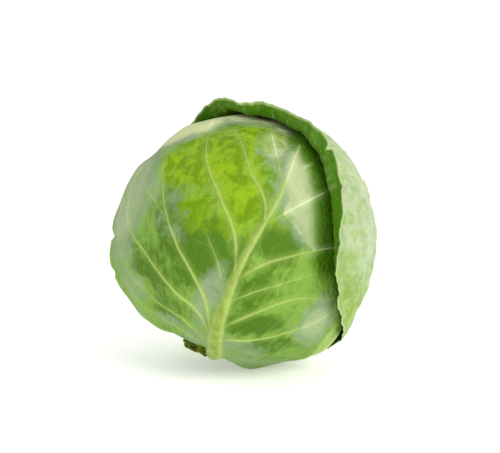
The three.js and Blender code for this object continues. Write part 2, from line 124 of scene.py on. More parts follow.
def points_of(mesh):
    """Every vertex of a mesh as a row of x, y and z."""
    flat = np.empty(len(mesh.vertices) * 3)
    mesh.vertices.foreach_get("co", flat)
    return flat.reshape(-1, 3)


def move_points(mesh, places):
    """Moves every vertex to its place in mm, and shades the mesh smoothly."""
    mesh.vertices.foreach_set("co", (places / 1000).ravel())
    mesh.update()
    for polygon in mesh.polygons:
        polygon.use_smooth = True


def show(mesh):
    """An object at the origin that carries a mesh and its name."""
    obj = bpy.data.objects.new(mesh.name, mesh)
    bpy.context.collection.objects.link(obj)
    return obj


# %% Floor, lights and world
floor_bm = bmesh.new()
bmesh.ops.create_grid(floor_bm, x_segments=1, y_segments=1, size=30.0)
floor = show(mesh_of("floor", floor_bm))
floor_material, _, floor_shader = new_material("white acrylic table, lit from below")
floor_shader.inputs["Base Color"].default_value = linear("#fbfbfa")
floor_shader.inputs["Roughness"].default_value = 0.9
floor_shader.inputs["Emission Color"].default_value = linear("#ffffff")
floor_shader.inputs["Emission Strength"].default_value = 0.28
floor.data.materials.append(floor_material)


def aim_at_head(light, place):
    """Puts a light at a place in metres and turns it towards the middle of the head."""
    light.location = place
    way = [a - b for a, b in zip(HEAD_MIDDLE, place)]
    flat = math.hypot(way[0], way[1])
    across = math.atan2(way[1], way[0]) - math.pi / 2
    light.rotation_euler = (math.atan2(flat, -way[2]), 0, across)
    bpy.context.collection.objects.link(light)


key_data = bpy.data.lights.new("key light", "SUN")
key_data.energy = 1.85
key_data.angle = math.radians(32)
aim_at_head(bpy.data.objects.new("key light", key_data), (1.3, -1.2, 1.05))
fill_data = bpy.data.lights.new("fill light", "AREA")
fill_data.size = 0.9
fill_data.energy = 5
aim_at_head(bpy.data.objects.new("fill light", fill_data), (-0.8, -1.2, 0.3))
world = bpy.data.worlds.new("studio")
world.use_nodes = True
background = world.node_tree.nodes["Background"]
background.inputs["Color"].default_value = linear("#ffffff")
background.inputs["Strength"].default_value = 0.86
bpy.context.scene.world = world
bpy.context.scene.view_settings.view_transform = "Standard"
print("a white table, a wide key light, a low fill and a white world")

# %% [markdown]
# ## The shape of the head
#
# All the leaves share one rounded surface. It could be sculpted, but then every leaf
# would have to be fitted over the one below by hand. Here it is a function: for any
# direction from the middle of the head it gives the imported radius, with a few gentle
# swellings and the hollow round the stem. Directions are named from the stem: tau is the
# angle away from the stem end, and psi goes round the stem with 0 at the front.

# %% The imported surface
CENTRE_Z = 88.0       # middle of the head above the floor, mm
HEART_R = 83.0        # mean radius that the wrapper leaves are laid on
SHEET = 90.0          # radius on which the flat leaves are laid out
BLADE = 1.0           # thickness of a leaf blade
SEAT = 0.4            # blade above what it lies on
LIFT = 2.9            # what one leaf adds under the next
FADE = 16.0           # the next leaf settles over this distance past an edge
UNEVEN = 0.7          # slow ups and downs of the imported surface

STEM_WAY = np.array([-0.36, -0.145, -0.921])
STEM_WAY /= np.linalg.norm(STEM_WAY)
FRONT = np.array([0.0, -1.0, 0.0])
FRONT = FRONT - (FRONT @ STEM_WAY) * STEM_WAY
FRONT /= np.linalg.norm(FRONT)
SIDE = np.cross(FRONT, STEM_WAY)
# swellings and hollows: tau, psi, height in mm, width in degrees
SWELLINGS = [(0, 0, -20, 16.5), (62, -95, 2.4, 34), (58, 78, 6.5, 22), (128, -100, -3, 26),
             (150, 20, -1, 30), (92, 150, -2, 40), (25, 122, 6.5, 16), (38, 76, -5, 12),
             (16, -60, -3.5, 14)]


def around(psi):
    """The direction straight across the stem, at psi round it."""
    return math.cos(math.radians(psi)) * FRONT + math.sin(math.radians(psi)) * SIDE


def direction(tau, psi):
    """The direction tau degrees away from the stem, at psi round it."""
    return math.sin(math.radians(tau)) * around(psi) + math.cos(math.radians(tau)) * STEM_WAY


def smooth(v):
    """Rises from 0 to 1 as v does, level at both ends."""
    c = np.clip(v, 0, 1)
    return c * c * (3 - 2 * c)


def packed_radius(d):
    """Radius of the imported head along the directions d, before any wrapper leaf."""
    r = np.full(d.shape[:-1], HEART_R)
    for tau, psi, height, width in SWELLINGS:
        off = np.arccos(np.clip(d @ direction(tau, psi), -1, 1)) / math.radians(width)
        r = r + height * np.exp(-off * off)
    x, y, z = d[..., 0], d[..., 1], d[..., 2]
    return r + UNEVEN * np.sin(7 * x + 4 * z + 1) * np.sin(6 * y - 5 * z)


print("stem points", np.round(STEM_WAY, 3))

# %% [markdown]
# ## Four wrapper leaves as flat outlines
#
# Each leaf is drawn flat first, in millimetres, with its midrib up the middle, and is
# then wrapped round the head, as the plant does it. An outline is 24 radii, one every 15
# degrees. A side vein is written as a gardener would say it: where it leaves the midrib,
# at what angle, how long it is and how much it bends. On the front leaf each one is set
# out point by point instead, because there the eye follows every line. Flares say where
# the margin rolls outwards. The list goes from the innermost leaf to the outermost.

# %% Leaf data
# veins: height on the midrib, angle, length, bend, size; or size, then points
# rib: width and height of the midrib at its base, then at its tip
# flares: angle, turn in degrees, radius of the turn, length of margin that turns
# forks: lean and length of the branches near the end of each side vein
# nicks: angle, half width in degrees and depth of small tears in the margin
# fold: the angles between which painted shade lies on the leaf beneath, at the foot of the turned
# margin
LEAVES = [
    dict(name="lower_leaf", tau=85, psi=76, wave=1.0, waves=11, phase=1.0, ragged=1.8,
         forks=[(24, 34), (-20, 42)], nicks=[], fold=(0, 0),
         edge=[112, 116, 118, 122, 124, 126, 128, 126, 124, 122, 118, 114,
               112, 112, 116, 118, 114, 112, 115, 108, 112, 116, 114, 112],
         midrib=[(0, -115), (2, -80), (0, -40), (-2, 0), (0, 40), (2, 75)],
         rib=(12, 3.0, 2, 0.8), flares=[],
         veins=[(-76, 118, 70, -30, 1.0), (-52, 62, 80, 30, 1.0), (-22, 126, 78, -34, 1.0),
                (-4, 52, 72, 30, 1.0), (26, 128, 62, -30, 0.9), (42, 50, 58, 26, 0.9)]),
    dict(name="left_leaf", tau=90, psi=220, wave=1.4, waves=12, phase=0.4, ragged=1.8,
         forks=[(24, 34), (-20, 42)], nicks=[], fold=(0, 0),
         edge=[124, 122, 122, 120, 122, 126, 128, 126, 122, 124, 122, 120,
               124, 126, 120, 118, 114, 110, 121, 125, 133, 130, 128, 128],
         midrib=[(0, -120), (-4, -90), (-8, -50), (-6, -10), (0, 30), (4, 70), (6, 96)],
         rib=(14, 4.2, 2, 0.8), flares=[],
         veins=[(-92, 128, 84, -30, 1.2), (-86, 50, 90, 32, 1.2), (-60, 124, 98, -30, 1.2),
                (-50, 46, 96, 36, 1.2), (-24, 128, 92, -34, 1.1), (-12, 50, 86, 34, 1.1),
                (8, 130, 78, -30, 1.0), (22, 46, 72, 30, 1.0), (40, 128, 56, -26, 0.9),
                (54, 52, 50, 22, 0.9)]),
    dict(name="front_leaf", tau=88, psi=4, wave=1.2, waves=10, phase=2.2, ragged=1.8,
         forks=[], nicks=[(199, 2.4, 4), (214, 2.0, 3), (277, 5, 6)], fold=(0, 0),
         edge=[98, 104, 110, 118, 126, 130, 132, 134, 136, 138, 141, 143,
               142, 141, 137, 129, 118, 110, 118, 125, 124, 102, 90, 90],
         midrib=[(2, -119), (3, -96), (-5, -68), (-9, -44), (-10, -10), (-6, 18), (-1, 46),
                 (2, 74), (5, 92)],
         rib=(17, 5.2, 1.4, 0.6), flares=[(195, 22, 9, 7), (210, 26, 9, 8), (225, 18, 9, 7)],
         veins=[(1.4, (-7, -70), (-28, -40), (-60, -13), (-83, 12), (-98, 40), (-101, 60)),
                (0.8, (-76, 1), (-88, 6), (-104, 15)),
                (1.5, (-11, -16), (-22, 8), (-43, 31), (-62, 53), (-75, 84), (-77, 106)),
                (1.3, (-5, 22), (-11, 38), (-27, 55), (-40, 75), (-55, 94)),
                (0.9, (-1, 48), (-14, 82), (-26, 114)),
                (1.3, (-5, -74), (-23, -58), (-50, -48), (-84, -32), (-108, -16), (-127, 13),
                 (-130, 32)),
                (1.0, (-5, -84), (-30, -72), (-60, -70), (-80, -63), (-98, -55), (-124, -38)),
                (0.9, (-4, -92), (-28, -87), (-56, -86), (-84, -78)),
                (0.6, (-14, -32), (-26, -14), (-39, 0)),
                (1.1, (-5, 22), (3, 30), (13, 41), (32, 60)),
                (1.3, (-9, -22), (-3, -11), (12, 3), (40, 19), (60, 27)),
                (0.7, (-9, -40), (2, -26), (17, -14), (41, 2)),
                (1.5, (-6, -60), (8, -42), (25, -25), (40, -17), (68, -12)),
                (1.2, (-4, -76), (6, -66), (19, -61), (40, -49), (60, -33), (73, -16))]),
    dict(name="hood_leaf", tau=108, psi=148, wave=0.9, waves=13, phase=0.2, ragged=1.0,
         forks=[(24, 34), (-20, 42)], nicks=[(122, 1.3, 5)], fold=(94, 183),
         edge=[124, 130, 138, 146, 151, 161, 156, 158, 167, 177, 185, 185,
               175, 152, 128, 119, 125, 148, 152, 150, 140, 130, 124, 122],
         midrib=[(4, -151), (3, -120), (-4, -80), (-8, -40), (-4, 0), (2, 40), (6, 80),
                 (6, 108)],
         rib=(15, 5.0, 2.2, 0.9),
         flares=[(45, 26, 9, 8), (60, 50, 8, 13), (75, 68, 8, 15), (90, 74, 8, 16),
                 (105, 84, 8, 18), (120, 95, 8, 20), (135, 95, 8, 21), (150, 80, 9, 21),
                 (165, 64, 10, 20), (180, 46, 9, 15), (195, 12, 9, 9)],
         veins=[(-122, 134, 140, -30, 1.3), (-112, 50, 100, 40, 1.2), (-92, 130, 165, -34, 1.5),
                (-76, 50, 116, 38, 1.4), (-56, 132, 172, -40, 1.5), (-40, 46, 112, 34, 1.4),
                (-18, 134, 160, -36, 1.4), (-2, 48, 98, 34, 1.3), (22, 130, 140, -30, 1.3),
                (36, 52, 88, 30, 1.2), (58, 130, 106, -22, 1.1), (72, 54, 66, 24, 1.0)]),
]
LEAF = {leaf["name"]: leaf for leaf in LEAVES}
print(len(LEAVES), "leaves,", sum(len(leaf["veins"]) for leaf in LEAVES), "side veins")

# %% From flat leaf to direction and back
def between(a, b, c, e, t):
    """The smooth curve from b at t = 0 to c at t = 1, with a before them and e after."""
    return b + 0.5 * t * (c - a + t * (2 * a - 5 * b + 4 * c - e + t * (3 * (b - c) + e - a)))


def ring(values, degrees):
    """Smooth value at an angle through numbers spaced evenly round a circle."""
    table = np.asarray(values, float)
    count = len(table)
    u = np.mod(degrees, 360) / 360 * count
    i = np.floor(u).astype(int) % count
    return between(*[table[(i + k) % count] for k in (-1, 0, 1, 2)], u - np.floor(u))


for leaf in LEAVES:
    tau, psi = math.radians(leaf["tau"]), leaf["psi"]
    leaf["middle"] = direction(leaf["tau"], psi)
    leaf["up"] = -math.sin(tau) * STEM_WAY + math.cos(tau) * around(psi)
    leaf["right"] = np.cross(leaf["up"], leaf["middle"])
    leaf["turn"], leaf["curl"], leaf["reach"] = [0.0] * 24, [9.0] * 24, [8.0] * 24
    for angle, *flare in leaf["flares"]:
        for key, value in zip(("turn", "curl", "reach"), flare):
            leaf[key][angle // 15] = value


def outward(leaf, x, y):
    """Directions of flat leaf points, wrapped round the head from the leaf's middle."""
    rho = np.hypot(x, y) + 1e-9
    a = rho / SHEET
    return np.cos(a)[..., None] * leaf["middle"] + (np.sin(a) * x / rho)[..., None] \
        * leaf["right"] + (np.sin(a) * y / rho)[..., None] * leaf["up"]


def layout(leaf, d):
    """Flat leaf coordinates of directions."""
    a = np.arccos(np.clip(d @ leaf["middle"], -1, 1))
    k = SHEET * a / np.maximum(np.sin(a), 1e-9)
    return k * (d @ leaf["right"]), k * (d @ leaf["up"])


def ripple(leaf, degrees, shift):
    """Uneven ripple round a margin, between -1 and 1."""
    t = np.radians(degrees)
    p = leaf["phase"] + shift
    w = leaf["waves"]
    return 0.5 * np.sin(w * t + p) + 0.3 * np.sin(math.floor(1.6 * w + 0.5) * t + 2.1 * p) \
        + 0.2 * np.sin(math.floor(2.6 * w + 0.5) * t + 3.7 * p)


def margin_at(leaf, degrees):
    """Radius of the ragged margin."""
    return ring(leaf["edge"], degrees) + leaf["ragged"] * ripple(leaf, degrees, 1.3)


def edge_at(leaf, degrees):
    """The margin with its torn nicks."""
    r = margin_at(leaf, degrees)
    for at, half, depth in leaf["nicks"]:
        r = r - depth * np.clip(1 - np.abs((degrees - at + 540) % 360 - 180) / half, 0, 1)
    return r


print("front leaf is about", round(2 * float(np.mean(LEAF["front_leaf"]["edge"]))), "mm across")

# %% [markdown]
# ## Leaves lying on leaves
#
# A leaf lies on whatever is under it. Each leaf below lifts the ones above by its own
# thickness, fading out a little past its edge, and by its midrib near the stem. Where the
# head bears on the floor the whole stack is pressed flat. The rolled margin is an arc: past
# a line near the edge the blade turns away from the head round a small radius.

# %% Stacking and rolling
def curve_through(points, steps):
    """A smooth curve through given points, with so many steps from each to the next."""
    p = np.array(points, float)
    p = np.vstack([2 * p[0] - p[1], p, 2 * p[-1] - p[-2]])
    t = np.linspace(0, 1, steps, endpoint=False)[:, None]
    spans = [between(a, b, c, e, t) for a, b, c, e in zip(p, p[1:], p[2:], p[3:])]
    return np.vstack(spans + [p[-2:-1]])


for leaf in LEAVES:
    leaf["line"] = curve_through(leaf["midrib"], 12)


def midrib_x(leaf, y):
    """How far the midrib bends aside at a height on the leaf."""
    return np.interp(y, leaf["line"][:, 1], leaf["line"][:, 0])


def inside_edge(leaf, x, y):
    """Distance in from the margin, below 0 past it."""
    return edge_at(leaf, np.degrees(np.arctan2(y, x))) - np.hypot(x, y)


def cover(leaf, d):
    """1 over the blade of a leaf and 0 well past its edge."""
    x, y = layout(leaf, d)
    return smooth((inside_edge(leaf, x, y) + FADE) / (FADE - 2))


def midrib_lift(leaf, d):
    """What the midrib of a leaf adds under the next: most at the stem, none at the tip."""
    x, y = layout(leaf, d)
    a = np.clip((y + 130) / 200, 0, 1)
    off = x - midrib_x(leaf, y)
    return leaf["rib"][1] * (1 - a) ** 2 * np.exp(-off * off / 260) * smooth((70 - y) / 60) \
        * smooth((y + 150) / 14)


def stack(d, count):
    """Height of the first count leaves, one on the other."""
    s = np.zeros(d.shape[:-1])
    for leaf in LEAVES[:count]:
        s = s + cover(leaf, d) * (LIFT + midrib_lift(leaf, d))
    return s


def pressed(d):
    """How far the head would reach below the floor along d if it did not press flat."""
    last = len(LEAVES) - 1
    deep = packed_radius(d) + stack(d, last) + LIFT * (cover(LEAVES[last], d) - 1) \
        + SEAT + BLADE - CENTRE_Z / np.maximum(-d[..., 2], 1e-6)
    return np.where(d[..., 2] < -0.5, deep, -99)


down = np.array([[0.0, 0.0, -1.0]])
print("under its middle the head presses flat by", round(float(pressed(down)[0]), 1), "mm")


# %% What a leaf lies on
def seat_radius(d, count):
    """Radius under leaf number count, pressed flat where the head bears on the floor."""
    return packed_radius(d) - np.maximum(0, pressed(d)) + stack(d, count)


def covered(d, index):
    """1 where a later leaf lies over leaf number index."""
    over = np.zeros(d.shape[:-1])
    for leaf in LEAVES[index + 1:]:
        over = np.maximum(over, cover(leaf, d))
    return over


def flatness(d):
    """1 on the resting spot, 0 where the head has risen 1.2 mm off the floor."""
    return smooth((pressed(d) + 1.2) / 1.2)


print("leaves under the outermost one add up to",
      round(float(np.max(stack(np.array([leaf["middle"] for leaf in LEAVES]), 3))), 1), "mm")


# %% The rolled margin
def inner_face(index, x, y):
    """Points, in mm, of a leaf's inner face, and their directions from the middle."""
    leaf = LEAVES[index]
    rho = np.hypot(x, y)
    degrees = np.degrees(np.arctan2(y, x))
    edge = margin_at(leaf, degrees)
    inside = edge - rho
    turn = np.radians(np.maximum(0, ring(leaf["turn"], degrees)))
    curl, reach = ring(leaf["curl"], degrees), ring(leaf["reach"], degrees)
    past = np.maximum(reach - inside, 0)
    bend = np.minimum(past / curl, turn)
    rest = past - bend * curl
    rolled = (turn > 0.02) & (inside < reach)
    along = np.where(rolled, edge - reach + curl * np.sin(bend) + rest * np.cos(bend), rho)
    up = np.where(rolled, curl * (1 - np.cos(bend)) + rest * np.sin(bend), 0)
    k = along / np.maximum(rho, 1e-9)
    d = outward(leaf, x * k, y * k)
    wave = leaf["wave"] * smooth(1 - inside / 22) * (1 + ripple(leaf, degrees, 0))
    r = seat_radius(d, index) + SEAT + up + wave * (1 - flatness(d)) * (1 - covered(d, index))
    return d * r[..., None] + np.array([0, 0, CENTRE_Z]), d


def face_normals(index, x, y, step=0.5):
    px = inner_face(index, x + step, y)[0] - inner_face(index, x - step, y)[0]
    py = inner_face(index, x, y + step)[0] - inner_face(index, x, y - step)[0]
    n = np.cross(px, py)
    return n / np.maximum(np.linalg.norm(n, axis=-1, keepdims=True), 1e-9)


top_point, _ = inner_face(3, np.array([0.0]), np.array([100.0]))
print("a point high on the outermost leaf, mm:", np.round(top_point[0], 1))

# %% [markdown]
# ## Veins
#
# A cabbage leaf shows its ribs on the outer face. The midrib is thick and fleshy and
# tapers to nothing near the tip, and it is palest along its two shoulders, with a painted
# highlight that makes the right one the brighter. Side veins leave it, sweep outwards and
# bend towards the tip, fork near their ends, and thin twigs leave them. Real branching could
# be simulated, but a few rules with a fixed seed do as well: every branch is a line with a
# width, a height and a paleness that taper, and the relief at a point comes from how near
# it is to each line.

# %% Vein lines
VEIN_STEP = 2.5       # mm from one point of a vein to the next


def smooth_path(points):
    """Evenly spaced points on a smooth curve through given ones."""
    curve = curve_through(points, 16)
    far = np.r_[0, np.cumsum(np.hypot(*np.diff(curve, axis=0).T))]
    at = np.linspace(0, far[-1], max(4, int(round(far[-1] / VEIN_STEP))) + 1)
    return np.stack([np.interp(at, far, curve[:, 0]), np.interp(at, far, curve[:, 1])], -1)


def vein_line(start, angle, length, bend, gap=VEIN_STEP):
    """Points of a vein that turns more towards its end."""
    steps = max(4, int(round(length / gap)))
    points = [start]
    for i in range(steps):
        a = math.radians(angle + bend * ((i + 0.5) / steps) ** 2)
        x, y = points[-1]
        points.append((x + math.cos(a) * length / steps, y + math.sin(a) * length / steps))
    return np.array(points)


def tapered(points, width, height, end_width, end_height, tone=1.0, power=1.0):
    """A line whose width, height and paleness fall towards its end."""
    fall = (1 - np.linspace(0, 1, len(points))) ** power
    return dict(points=points, width=end_width + (width - end_width) * fall,
                height=end_height + (height - end_height) * fall,
                tone=tone * (0.4 + 0.6 * fall))


print("a vein of 80 mm is drawn with", len(vein_line((0.0, 0.0), 60, 80, -30)), "points")


# %% Midrib, side veins and twigs
def grow_veins(leaf, seed):
    """The midrib, the side veins and the seeded fine branches of a leaf."""
    rng = np.random.default_rng(seed)
    w0, h0, w1, h1 = leaf["rib"]
    midrib = tapered(leaf["line"], w0, h0, w1, h1, 1.0, 2.0)
    # it stays pale for most of its length and sinks into the blade near the tip
    tip = smooth(np.linspace(6, 0, len(midrib["tone"])))
    midrib["tone"] = midrib["tone"] ** 0.3 * (0.3 + 0.7 * tip)
    main, fine = [], []
    for vein in leaf["veins"]:
        if isinstance(vein[1], tuple):
            size, line = vein[0], smooth_path(vein[1:])
        else:
            y, angle, length, bend, size = vein
            line = vein_line((float(midrib_x(leaf, y)), y), angle, length, bend)
        side_vein = tapered(line, 0.7 + 1.25 * size, 1.15 * size, 0.7, 0.2 * size,
                            min(1.0, 0.6 + 0.35 * size))
        # it is dull for its first points, where it parts from the midrib
        side_vein["tone"] = side_vein["tone"] * (0.2 + 0.8 * smooth(np.arange(len(line)) / 9))
        main.append(side_vein)
        heading = np.degrees(np.arctan2(*(line[1:] - line[:-1]).T[::-1]))
        for lean, length in leaf["forks"]:
            start = line[-8 if lean > 0 else -5]
            fork = vein_line(tuple(start), heading[-5] + lean * rng.uniform(0.8, 1.2),
                             length * rng.uniform(0.8, 1.2), -0.6 * lean)
            main.append(tapered(fork, 1.1, 0.4, 0.5, 0.1, 0.6))
        side = rng.choice([-1, 1])
        i = int(rng.integers(4, 8))
        while i < len(line) - 3:
            twig = vein_line(tuple(line[i]), heading[i] + side * rng.uniform(38, 56),
                             rng.uniform(10, 20), -side * rng.uniform(15, 40))
            fine.append(tapered(twig, 0.7, 0.2, 0.35, 0.03, 0.6))
            i += int(rng.integers(5, 9))
            side = -side
    return midrib, main, fine


def shoulders(midrib):
    """The two edges of the midrib, where it is palest; the right one carries a painted highlight
    and is the brighter.
    """
    p, w = midrib["points"], midrib["width"]
    along = np.gradient(p, axis=0)
    across = np.stack([along[:, 1], -along[:, 0]], -1) / np.linalg.norm(along, axis=1)[:, None]
    fade = smooth(np.arange(len(p)) / 6)
    return [dict(points=p + across * (offset * w)[:, None], width=0.9 + 0.1 * w, height=0 * w,
                 tone=tone * fade) for offset, tone in ((0.36, 0.6), (-0.4, 0.3))]


# %% Relief of the veins
def near_lines(lines, x, y, reach):
    """For each point: relief in mm and nearness (1 on a line, 0 at reach half-widths)."""
    relief = np.zeros(len(x))
    near = np.zeros(len(x))
    for line in lines:
        p, w, h = line["points"], line["width"], line["height"]
        pad = reach * w.max()
        box = (x > p[:, 0].min() - pad) & (x < p[:, 0].max() + pad) \
            & (y > p[:, 1].min() - pad) & (y < p[:, 1].max() + pad)
        index = np.nonzero(box)[0]
        if not len(index):
            continue
        a, b = p[:-1], p[1:]
        ab = b - a
        q = np.stack([x[index], y[index]], -1)
        t = np.einsum("nsk,sk->ns", q[:, None] - a[None], ab) / np.sum(ab * ab, -1)
        t = np.clip(t, 0, 1)
        gap = np.linalg.norm(q[:, None] - (a[None] + t[..., None] * ab[None]), axis=-1)
        best = np.argmin(gap, 1)
        rows = np.arange(len(index))
        u = t[rows, best]
        width = w[best] * (1 - u) + w[best + 1] * u
        height = h[best] * (1 - u) + h[best + 1] * u
        e = gap[rows, best] / (width / 2)
        bump = height * (0.82 * np.clip(1 - e * e, 0, 1) ** 1.3 + 0.18 * np.exp(-e * e / 3.0))
        relief[index] = (relief[index] ** 4 + bump ** 4) ** 0.25
        tone = line["tone"][best] * (1 - u) + line["tone"][best + 1] * u
        near[index] = np.maximum(near[index], tone * smooth((reach - e) / (reach - 0.45)))
    return relief, near


for number, leaf in enumerate(LEAVES):
    leaf["veined"] = grow_veins(leaf, 40 + number)
    print(leaf["name"], "has", len(leaf["veined"][1]), "side veins and",
          len(leaf["veined"][2]), "fine ones")

# %% [markdown]
# ## From a grid to a leaf
#
# A leaf could be sculpted from a sphere, but a flat grid keeps control of the outline.
# A square grid is pressed into a disc, the disc is stretched to the leaf's outline, and
# Solidify closes it into a thin slab. Only the outer face near veins is subdivided again,
# so the triangles go where the ribs are. Then every vertex moves from the flat leaf to
# the head, with the ribs raised, old folds pressed in and a crimped margin where the leaf
# has them. Each vertex keeps what the finish needs to know as attributes: how near a vein
# and the margin are, which face it is on, where painted shade lies at the foot of the next
# leaf that stands up out of this one, and where wax or fresh colour lies.

# %% Flat blank of a leaf
def flat_blank(leaf, cells, rounds):
    """A closed flat slab: x and y in leaf mm, z 0 on the inner face and 1 on the outer.

    Each round halves the edges of the outer face, everywhere if it is None and otherwise
    near the ribs, which count as at least that many mm wide.
    """
    bm = bmesh.new()
    bmesh.ops.create_grid(bm, x_segments=cells, y_segments=cells, size=1.0)
    for v in bm.verts:
        sx, sy = v.co.x, v.co.y
        dx, dy = sx * math.sqrt(1 - sy * sy / 2), sy * math.sqrt(1 - sx * sx / 2)
        v.co = (math.degrees(math.atan2(dy, dx)), min(math.hypot(dx, dy), 1.0), 0)
    degrees = np.array([v.co.x for v in bm.verts])
    part = np.array([v.co.y for v in bm.verts])
    rough, fair = edge_at(leaf, degrees), ring(leaf["edge"], degrees)
    rho = part * (fair + (rough - fair) * part ** 6)
    for v, r, a in zip(bm.verts, rho, np.radians(degrees)):
        v.co = (r * math.cos(a), r * math.sin(a), 0)
    bmesh.ops.solidify(bm, geom=bm.faces[:], thickness=-1.0)
    low = min(v.co.z for v in bm.verts)
    for v in bm.verts:
        v.co.z -= low
    rim = [e for e in bm.edges if abs(e.verts[0].co.z - e.verts[1].co.z) > 0.5]
    bmesh.ops.subdivide_edges(bm, edges=rim, cuts=1)
    midrib, main, _ = leaf["veined"]
    for reach in rounds:
        bm.verts.index_update()
        x, y, z = np.array([v.co for v in bm.verts]).T
        near = z > 0.75
        if reach:
            wide = [dict(line, width=np.maximum(line["width"], reach)) for line in [midrib] + main]
            near[near] = near_lines(wide, x[near], y[near], 2.2)[1] > 0.05
        edges = [e for e in bm.edges if near[e.verts[0].index] and near[e.verts[1].index]]
        bmesh.ops.subdivide_edges(bm, edges=edges, cuts=1, use_grid_fill=True)
    return bm


trial = flat_blank(LEAF["lower_leaf"], 8, (None,))
print("a trial blank of 8 by 8 cells has", len(trial.faces), "faces")
trial.free()


# %% Patches and films of wax
def zone(x, y, patches):
    """Soft patches drawn on a leaf: (x, y, half width, half height, turn, amount)."""
    total = np.zeros(len(x))
    for px, py, rx, ry, turn, amount in patches:
        c, s = math.cos(math.radians(turn)), math.sin(math.radians(turn))
        u = ((x - px) * c + (y - py) * s) / rx
        v = (-(x - px) * s + (y - py) * c) / ry
        total = np.maximum(total, amount * smooth(1.35 - 0.75 * np.hypot(u, v)))
    return total


FILM_EDGE = 3.0       # mm over which a film of wax thins out


def films(x, y, sheets):
    """Films of wax that end along straight borders: (amount, corners going round)."""
    total = np.zeros(len(x))
    for amount, *corners in sheets:
        inside = np.full(len(x), 99.0)
        for (ax, ay), (bx, by) in zip(corners, corners[1:] + corners[:1]):
            long = math.hypot(bx - ax, by - ay)
            inside = np.minimum(inside, ((bx - ax) * (y - ay) - (by - ay) * (x - ax)) / long)
        total = np.maximum(total, amount * smooth(0.5 + inside / FILM_EDGE))
    return total


print("a patch at its middle and its rim:",
      zone(np.array([0.0, 10.0]), np.zeros(2), [(0, 0, 10, 10, 0, 1.0)]).round(2))


# %% Combed veins and painted shade in folds
def comb(leaf):
    """The unevenly spaced small veins that run out to a turned margin, on its inner face."""
    turned = [angle for angle, turn, _, _ in leaf["flares"] if turn > 30]
    if not turned:
        return []
    rng = np.random.default_rng(7)
    veins = []
    for angle in np.arange(min(turned) - 5, max(turned) + 5, 5.2):
        angle = float(angle + rng.uniform(-1.4, 1.4))
        lean = float(rng.uniform(-22, 22))
        way = np.array([math.cos(math.radians(angle)), math.sin(math.radians(angle))])
        start = way * (float(ring(leaf["edge"], angle)) - 26)
        veins.append(tapered(vein_line(tuple(start), angle + lean, 25, -2 * lean, 2.0),
                             1.1, 0.3, 0.5, 0.1, 0.8))
    return veins


FOLD_SHADE_DEPTH = 18     # mm over which the painted shade at the foot of a standing leaf fades
FOLD_SHADE_END = 16       # degrees over which the painted shade fades along the margin
FLAT_LEAF_SHADE = 0.25          # how much painted shade there is beside a leaf that lies flat


def fold_shade_beside(index, d):
    """Painted shade: 1 at the foot of a leaf that stands up out of this one."""
    total = np.zeros(d.shape[:-1])
    for upper in LEAVES[index + 1:]:
        x, y = layout(upper, d)
        degrees = np.degrees(np.arctan2(y, x))
        turn = ring(upper["turn"], degrees)
        foot = (ring(upper["reach"], degrees) - ring(upper["curl"], degrees)) * (turn > 1)
        deep = smooth((inside_edge(upper, x, y) - foot + FOLD_SHADE_DEPTH) / FOLD_SHADE_DEPTH)
        first, last = upper["fold"]
        angle = np.mod(degrees, 360)
        shade_span = smooth((angle - first) / FOLD_SHADE_END) * smooth((last - angle) / FOLD_SHADE_END)
        total = np.maximum(total, np.where(turn > 1, shade_span, FLAT_LEAF_SHADE) * deep)
    return total


print("the outermost leaf has", len(comb(LEAF["hood_leaf"])), "combed veins")


# %% One whole leaf
def dips(x, y):
    """How the blade dips and swells between its veins, about 1 either way."""
    swell = np.sin(x / 9.1 + 1.3 * np.sin(y / 13.0)) * np.sin(y / 10.7 + 0.9 * np.sin(x / 12.1))
    return swell + 0.5 * np.sin(x / 4.3 + y / 6.1) * np.sin(y / 4.9 - x / 7.7)


def crimps(leaf, x, y):
    """The small uneven pleats of a crimped margin, about 1 either way."""
    along = np.arctan2(y, x) * np.mean(leaf["edge"])
    return np.sin(along / 3.4 + 2.2 * np.sin(along / 11)) * np.sin(along / 23 + 1) \
        + 0.35 * np.sin(along / 1.7 + 2 * np.sin(along / 7))


CRIMPED = 17          # mm in from the margin that the pleats reach
THIN = 0.62           # share of the blade's thickness that is left at the margin
ROUND_EDGE = 0.28     # mm by which the middle of the edge stands out
FAN_FOOT = 25         # mm below the foot of the midrib from which the fibres fan out
FAN_OUT = 60          # mm from there at which their spacing is measured


